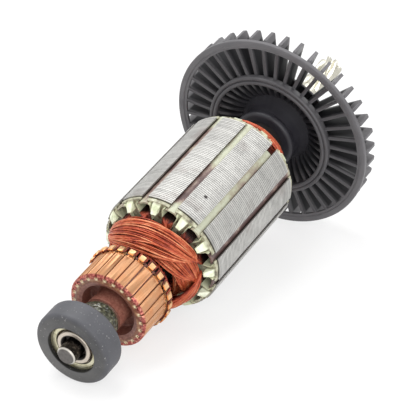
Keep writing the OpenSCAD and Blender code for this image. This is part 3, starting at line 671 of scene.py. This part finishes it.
def polyline_mesh(lines, tones, closed, name):
    """Mesh of loose edges along the lines, with each point's tone kept as an attribute."""
    mesh = bpy.data.meshes.new(name)
    verts, edges = [], []
    for line in lines:
        first = len(verts)
        verts += line
        edges += [(first + k, first + k + 1) for k in range(len(line) - 1)]
        if closed:
            edges.append((first + len(line) - 1, first))
    mesh.from_pydata(verts, edges, [])
    mesh.attributes.new("strand_tone", "FLOAT", "POINT").data.foreach_set("value", tones)
    return mesh


enamelled_copper, tree, surface = finish(
    "enamelled copper", 0.44, metallic=0.4, Coat_Weight=0.15, Coat_Roughness=0.25)
place, station, *_ = shaft_place(tree)
strand = add(tree, "ShaderNodeAttribute", attribute_name="strand_tone").outputs["Fac"]
cloud = speckle(tree, place, 260.0, 4.0)
thread = speckle(tree, place, 1500.0, 2.0)
threads_and_shade = calc(tree, "ADD", strand, span(tree, thread, 0.2, 0.8, -0.16, 0.16))
mottle_and_shade = calc(tree, "ADD", threads_and_shade, span(tree, cloud, 0.3, 0.7, -0.22, 0.22))
strands = ramp(tree, mottle_and_shade, (0.10, tone(92, 33, 25)), (0.34, tone(146, 58, 38)),
               (0.56, tone(184, 83, 52)), (0.76, tone(200, 107, 70)), (0.95, tone(218, 144, 105)))
in_slot = calc(tree, "MULTIPLY", span(tree, station, core_rear - 0.0042, core_rear - 0.0028),
               span(tree, station, core_front + 0.0016, core_front + 0.0034, 1.0, 0.0))
shade = blend(tree, span(tree, station, core_rear + 0.003, core_rear + 0.006),
              tone(96, 44, 34), tone(40, 20, 17))
paint(tree, surface, blend(tree, in_slot, strands, shade))

wire_tree, given, result = shape_tree(
    "Drawn wire", Wire_radius=wire_r, Sides=6, Copper=enamelled_copper)
path = add(wire_tree, "GeometryNodeMeshToCurve", {0: given["Geometry"]})
circle = add(wire_tree, "GeometryNodeCurvePrimitiveCircle", {
    "Resolution": given["Sides"], "Radius": given["Wire radius"]})
tube = add(wire_tree, "GeometryNodeCurveToMesh", {
    "Curve": path.outputs[0], "Profile Curve": circle.outputs[0], "Fill Caps": True})
soft = add(wire_tree, "GeometryNodeSetShadeSmooth", {0: tube.outputs[0]})
close_tree(wire_tree, soft.outputs[0], given["Copper"], result)

for index in range(slot_count):
    number = f"{index + 1:02d}"
    loops = polyline_mesh(*coil_wires(index), True, "wires")
    winding = grow(loops, wire_tree, f"winding_{number}")
    fit(winding, "rotor", "enamelled_copper", f"coil_{number}")

# ==================================================================================== hook leads
# The ends of the coils' copper wires, two to each hook. They come out of the overhang close to
# the commutator, turn forward beside the hook and meet under it.

bars_rear = reach("commutator_bars")[0]
lead_r = 0.0003
hook_side = 0.00126
lead_foot_r = 0.0108
lead_track_r = track_r + 0.00042

# Where a lead bends under its hook, as shares of hook_side and distances past the hook's root
lead_bend = ((1.0, 0.0009), (0.96, 0.0013), (0.75, 0.0017), (0.2, 0.0018))
lead_steps = 6


def hook_lead(hook, early, rng):
    """Route of one lead, from inside the overhang to the middle of its hook."""
    turn = Matrix.Rotation(slot_phase + (hook + 0.5) * bar_turn, 4, "Z")
    side_x = -hook_side if early else hook_side
    sweep = math.radians(15 if early else 9) + rng.uniform(-0.05, 0.05)
    low, high = bars_rear - 0.0042, bars_rear - 0.0006
    route = []
    for k in range(lead_steps + 1):
        t = k / lead_steps
        about = mix(sweep, -side_x / lead_track_r, smooth(t))
        route.append(turned_point(mix(lead_foot_r, lead_track_r, t ** 1.4), about,
                                  mix(low, high, t) + rng.uniform(-1, 1) * 5e-5))
    route += [Vector((side_x * share, lead_track_r, bars_rear + past))
              for share, past in lead_bend]
    return [turn @ point for point in route]


rng = random.Random(7)
leads = [hook_lead(hook, early, rng) for hook in range(bar_count) for early in (True, False)]
tones = [rng.uniform(0.05, 0.35) for route in leads for _ in route]
lead_wires = grow(polyline_mesh(leads, tones, False, "leads"), wire_tree, "hook_leads",
                  Wire_radius=lead_r, Sides=8)
fit(lead_wires, "rotor", "enamelled_copper", "coil_leads")

# ================================================================================== slot wedges
# Arched fibre strips, pushed along the slots to close them under the tooth tips. Varnish has
# soaked them unevenly: some stay pale green, others are stained brown along part of their
# length, and one was cut a little short at the fan end. Both edges of each strip are painted
# darker, as the shade under the tooth tips.

wedge_rear, wedge_front, _, wedge_top_r = reach("slot_wedge_01")
wedge_half_width = 0.0019
wedge_rise = 0.00045
wedge_thickness = 0.0006
wedge_ripple = 0.00008
wedge_steps = 90
wedge_sides = (-1, -0.68, -0.56, -0.2, 0.2, 0.56, 0.68, 1)
short_wedge = 10
short_by = 0.0044
stain_fade = 0.0035

# Stained stretch of each slot's strip, as two stations and a depth of colour from 0 to 1
wedge_stains = {0: (0.004, 0.050, 0.62), 1: (-0.002, 0.050, 0.85), 2: (0.0, 0.02, 0.3),
                11: (0.0215, 0.046, 0.80), 10: (0.006, 0.030, 0.26), 9: (-0.003, 0.052, 0.95),
                8: (-0.003, 0.052, 0.9)}


def lay_down(body, name):
    """Smooth mesh of a body, laid down with the shaft, its faces outwards."""
    bmesh.ops.recalc_face_normals(body, faces=body.faces)
    mesh = bpy.data.meshes.new(name)
    body.to_mesh(mesh)
    body.free()
    mesh.transform(lay)
    mesh.shade_smooth()
    return mesh


def wedge_strip(index):
    """One strip, with how stained it is, and the painted shade along its edges, kept on its
    points.
    """
    plain_depth = random.Random(40 + index).uniform(0.1, 0.7)
    start, end, depth = wedge_stains.get(index, (0.01, 0.04, plain_depth))
    turn = Matrix.Rotation(slot_phase + index * slot_turn, 4, "Z")
    section = [(x, wedge_top_r - wedge_rise * x * x) for x in wedge_sides]
    section += [(x, y - wedge_thickness) for x, y in reversed(section)]
    strip = bmesh.new()
    stain_and_edge_shade = strip.verts.layers.float.new("stain_and_edge_shade")
    loops = []
    first = wedge_rear + (short_by if index == short_wedge else 0.0)
    for step in range(wedge_steps + 1):
        along = mix(first, wedge_front, step / wedge_steps)
        inside = clamp((along - start) / stain_fade) * clamp((end - along) / stain_fade)
        loop = []
        for x, y in section:
            ripple = noise.noise(Vector((x * 0.7, along * 420, index * 3.1)))
            point = turn @ Vector((x * wedge_half_width, y + wedge_ripple * ripple, along))
            vert = strip.verts.new(point)
            blot = 0.5 + 0.5 * noise.noise(Vector((x * 1.4, along * 260, index * 7.7)))
            # Painted shade: a darker band along both edges, where the strip lies under the tooth
            # tips.
            edge_band = 0.34 * smooth((abs(x) - 0.5) / 0.18) * (0.3 + 1.4 * blot)
            vert[stain_and_edge_shade] = clamp(depth * inside * (0.4 + blot) + 0.3 * (blot - 0.4) + edge_band)
            loop.append(vert)
        loops.append(loop)
    join_loops(strip, loops)
    strip.faces.new(loops[0])
    strip.faces.new(reversed(loops[-1]))
    mesh = lay_down(strip, "wedge")
    mesh.set_sharp_from_angle(angle=math.radians(40))
    return object_of(mesh, f"wedge_strip_{index + 1:02d}")


slot_wedge_fibre, tree, surface = finish("slot wedge fibre", 0.42, Coat_Weight=0.2)
place, *_ = shaft_place(tree)
stain_and_edge_shade = add(tree, "ShaderNodeAttribute", attribute_name="stain_and_edge_shade").outputs["Fac"]
grain = speckle(tree, place, 1400.0, 4.0)
soak_and_edge_shade = calc(tree, "ADD", stain_and_edge_shade, span(tree, grain, 0.3, 0.7, -0.12, 0.12))
fibre = ramp(tree, soak_and_edge_shade, (0.05, tone(190, 193, 170)), (0.26, tone(172, 168, 144)),
             (0.48, tone(150, 134, 122)), (0.66, tone(122, 100, 94)), (0.90, tone(82, 62, 60)))
paint(tree, surface, fibre)
raise_surface(tree, surface, grain, 0.00006, 0.5)
for index in range(slot_count):
    strip = wedge_strip(index)
    strip.data.materials.append(slot_wedge_fibre)
    fit(strip, "rotor", "slot_wedge_fibre", f"slot_wedge_{index + 1:02d}")

# ================================================================================== resin collar
# Blackish-green resin, brushed round the shaft in front of the commutator while it was wet. It
# has set with a rough, lumpy skin that holds pale crumbs.

resin_rear, resin_front, resin_bore_r, _ = reach("resin_collar")
resin_around, resin_along = 120, 70
resin_mean_r = 0.0064
lump_height = 0.00032
lump_scale = 520
collar = bmesh.new()
loops = []
for step in range(resin_along + 1):
    t = step / resin_along
    along = mix(resin_rear, resin_front, t)
    loop = []
    for k in range(resin_around):
        turn = 2 * math.pi * k / resin_around
        seat = turned_point(resin_mean_r + 0.0001, turn, along)
        lumps = noise.fractal(seat * lump_scale, 0.9, 2.1, 4)
        edge = 1 - 0.25 * abs(2 * t - 1) ** 8
        lumpy_r = (resin_mean_r + lump_height * lumps) * edge
        loop.append(collar.verts.new(turned_point(lumpy_r, turn, along)))
    loops.append(loop)
join_loops(collar, loops)
for end, along in ((loops[0], resin_rear), (loops[-1], resin_front)):
    rim = [collar.verts.new(turned_point(resin_bore_r, 2 * math.pi * k / resin_around, along))
           for k in range(resin_around)]
    join_loops(collar, [end, rim])
resin_coat = object_of(lay_down(collar, "resin_coat"), "resin_coat")
resin, tree, surface = finish("resin", 0.30, Coat_Weight=0.3)
place, *_ = shaft_place(tree)
crumbs = speckle(tree, place, 1100.0, 5.0)
skin = ramp(tree, crumbs, (0.35, tone(34, 36, 29)), (0.52, tone(66, 68, 54)),
            (0.64, tone(98, 98, 80)), (0.76, tone(176, 176, 152)))
paint(tree, surface, skin)
raise_surface(tree, surface, crumbs, 0.00015, 0.7)
resin_coat.data.materials.append(resin)
fit(resin_coat, "rotor", "resin", "resin_collar")

# =========================================================================================== fan
# Radial fan, moulded in one piece of black plastic and pressed on the shaft behind the core.
# Its rim and blades have gone hazy, and the rounded collar round its hub keeps a slight gloss.
# Inside the rim the plastic is painted darker as shade: the blades a little, the hub more, and
# the deep pockets between the blades near black.

fan_rear, _, _, fan_r = reach("fan")
rim_front = fan_rear + 0.0087
hub_r, blades_r = 0.0125, 0.0170
fan_plastic, tree, surface = finish("fan plastic", 0.42, Specular_IOR_Level=0.36)
place, station, radius, angle = shaft_place(tree)
haze = speckle(tree, place, 150.0, 5.0)
fine = speckle(tree, place, 2600.0, 3.0)
# One plastic in lit and shaded tones: the rim plain, then the blades, the hub and the pockets
# between the blades painted darker in turn as shade.
rim = blend(tree, haze, tone(82, 81, 84), tone(107, 105, 107))
blades = blend(tree, haze, tone(62, 61, 64), tone(88, 86, 88))
inside = blend(tree, haze, tone(16, 16, 19), tone(29, 28, 32))
hub = blend(tree, haze, tone(33, 32, 37), tone(52, 51, 56))
behind = span(tree, station, rim_front - 0.0022, rim_front - 0.0006, 1.0, 0.0)
within = span(tree, radius, fan_r - 0.0034, fan_r - 0.0028, 1.0, 0.0)
ahead_of_back = span(tree, station, fan_rear + 0.0006, fan_rear + 0.0012)
painted_shade_depth = calc(tree, "MULTIPLY", calc(tree, "MULTIPLY", behind, within), ahead_of_back)
on_hub = span(tree, radius, hub_r, blades_r, 1.0, 0.0)
plastic_and_shade = blend(tree, painted_shade_depth, blend(tree, within, rim, blades), inside)
dullness = calc(tree, "MAXIMUM", span(tree, haze, 0.3, 0.7, 0.34, 0.50),
                calc(tree, "MULTIPLY", painted_shade_depth, 0.7))
paint(tree, surface, blend(tree, on_hub, plastic_and_shade, hub), dullness)
raise_surface(tree, surface, fine, 0.00002, 0.3)
fan = eased_copy("fan", "moulded_fan", edge=0.00012)
fan.data.materials.append(fan_plastic)
fit(fan, "rotor", "fan_plastic", "fan")

# ======================================================================================= bearing
# Deep-groove ball bearing: ground races, balls in a moulded cage, and two pressed shields with
# a yellow passivated finish. It is pressed on the shaft's end.

bore_lip_r = 0.0045
shield_lip_r = 0.00645
bearing_steel, tree, surface = finish("bearing steel", 0.36, metallic=0.8)
place, _, radius, _ = shaft_place(tree)
ground = speckle(tree, stretch(tree, place, 1.0, 1.0, 0.05), 3000.0, 2.0)
race = blend(tree, ground, tone(190, 178, 164), tone(222, 212, 198))
in_bore = span(tree, radius, bore_lip_r, bore_lip_r + 0.0003, 1.0, 0.0)
paint(tree, surface, blend(tree, in_bore, race, tone(46, 43, 41)))
for node in ("bearing_inner_race", "bearing_outer_race", "bearing_balls"):
    dress(node, bearing_steel)

cage_plastic, tree, surface = finish("cage plastic", 0.45)
place, *_ = shaft_place(tree)
paint(tree, surface, blend(tree, speckle(tree, place, 600.0), tone(164, 134, 76),
                           tone(186, 158, 100)))
dress("bearing_cage", cage_plastic)

shield_steel, tree, surface = finish("shield steel", 0.34, metallic=0.6)
place, _, radius, _ = shaft_place(tree)
film = speckle(tree, place, 700.0, 5.0)
yellow = ramp(tree, film, (0.3, tone(190, 184, 150)), (0.55, tone(220, 214, 182)),
              (0.8, tone(236, 232, 210)))
# Painted shade: the shield is dark at its inner lip, in the gap to the inner race.
on_lip = span(tree, radius, shield_lip_r, shield_lip_r + 0.0002, 1.0, 0.0)
paint(tree, surface, blend(tree, on_lip, yellow, tone(58, 54, 44)))
for end in ("front", "rear"):
    dress(f"bearing_shield_{end}", shield_steel)

# ================================================================================== bearing ring
# Thick ring of moulded black rubber, pushed over the bearing to seat it in its housing. Its
# outside is smooth, its face has a greyish bloom and is lighter towards its lower left, and
# handling has left pale dust on it. The wall of its opening is painted near black as shade.

ring_r = reach("bearing_ring")[3]
ring_lip_r = 0.0082
ring_rubber, tree, surface = finish("ring rubber", 0.48)
place, _, radius, angle = shaft_place(tree)
bloom = speckle(tree, place, 240.0, 6.0, 0.6)
dots = speckle(tree, place, 1500.0, 2.0)
# The face is made lighter towards its lower left.
toward_lower_left = calc(tree, "COSINE", calc(tree, "SUBTRACT", angle, math.radians(135)))
face = blend(tree, calc(tree, "MULTIPLY_ADD", toward_lower_left, 0.3, bloom), tone(54, 54, 56),
             tone(100, 99, 98))
side = blend(tree, bloom, tone(58, 59, 63), tone(84, 84, 89))
outside = blend(tree, span(tree, radius, ring_r - 0.0016, ring_r - 0.0002), face, side)
# Painted shade: the wall of the ring's opening is near black.
on_lip = span(tree, radius, ring_lip_r, ring_lip_r + 0.0003, 1.0, 0.0)
rubber = blend(tree, on_lip, outside, tone(28, 28, 30))
dusty = span(tree, dots, 0.67, 0.77)
paint(tree, surface, blend(tree, dusty, rubber, tone(146, 144, 142)),
      span(tree, bloom, 0.3, 0.7, 0.50, 0.62))
raise_surface(tree, surface, dots, 0.00003, 0.5)
dress("bearing_ring", ring_rubber)

# ======================================================================================== studio
# A pale floor and three soft lamps: one above, one at the right and one behind the fan. The
# floor glows for the camera and for mirror-like surfaces, so it shows as white as the
# background and keeps a faint shadow.

low_corner, high_corner = cad_box
middle = (Vector(low_corner) + Vector(high_corner)) / 2
white = (1, 1, 1, 1)
floor_glow = 0.7
room_light = 0.55


def shows_background(tree):
    """1 for the rays that show the background: camera, mirror and see-through ones."""
    rays = add(tree, "ShaderNodeLightPath").outputs
    mirrored = calc(tree, "MAXIMUM", rays["Is Camera Ray"], rays["Is Glossy Ray"])
    return calc(tree, "MAXIMUM", mirrored, rays["Is Transmission Ray"])


bpy.ops.mesh.primitive_plane_add(size=6, location=(0, 0, low_corner[2]))
floor = bpy.context.object
floor.name = "floor"
floor_paint, tree, surface = finish("floor paint", 0.9)
surface.inputs["Base Color"].default_value = tone(250, 250, 250)
glow = add(tree, "ShaderNodeEmission", {"Color": white, "Strength": 1.0})
seen = calc(tree, "MULTIPLY", shows_background(tree), floor_glow)
mixed = add(tree, "ShaderNodeMixShader", {0: seen, 1: surface.outputs[0], 2: glow.outputs[0]})
tree.links.new(mixed.outputs[0], tree.nodes["Material Output"].inputs["Surface"])
floor.data.materials.append(floor_paint)

world = bpy.data.worlds.new("studio")
bpy.context.scene.world = world
world.use_nodes = True
sky = world.node_tree
sky.nodes.clear()
level = span(sky, shows_background(sky), 0.0, 1.0, room_light, 1.0)
background = add(sky, "ShaderNodeBackground", {"Color": white, "Strength": level})
world_out = add(sky, "ShaderNodeOutputWorld")
sky.links.new(background.outputs[0], world_out.inputs[0])


def softbox(name, offset, size, power):
    """Square area lamp that faces the armature."""
    lamp = bpy.data.lights.new(name, "AREA")
    lamp.size = size
    lamp.energy = power
    holder = object_of(lamp, name)
    holder.location = middle + Vector(offset)
    holder.rotation_euler = (middle - holder.location).to_track_quat("-Z", "Y").to_euler()


softbox("key", (-0.30, 0.03, 0.80), 0.60, 6.1)
softbox("fill", (0.55, -0.45, 0.40), 0.70, 4.0)
softbox("rim", (0.15, 0.70, 0.50), 0.60, 2.2)

# The camera stands off the commutator end and looks down at it. The offset says how far the
# middle of the fan's rim lies to the right of, above and beyond the camera.
camera_turn = math.radians(30.74)
camera_height = math.radians(27.07)
camera_data = bpy.data.cameras.new("camera")
camera_data.sensor_width = 36.0
camera_data.lens = 179.59
camera = object_of(camera_data, "camera")
looking = Vector((-math.sin(camera_turn) * math.cos(camera_height),
                  math.cos(camera_turn) * math.cos(camera_height), -math.sin(camera_height)))
right = looking.cross(Vector((0, 0, 1))).normalized()
over = right.cross(looking)
rim_centre = shaft_origin + ahead * rim_front
rim_offset = Vector((0.02184, 0.02480, 0.70376))
camera.location = rim_centre - right * rim_offset.x - over * rim_offset.y - looking * rim_offset.z
camera.rotation_euler = looking.to_track_quat("-Z", "Y").to_euler()
bpy.context.scene.camera = camera
bpy.context.scene.view_settings.view_transform = "Standard"
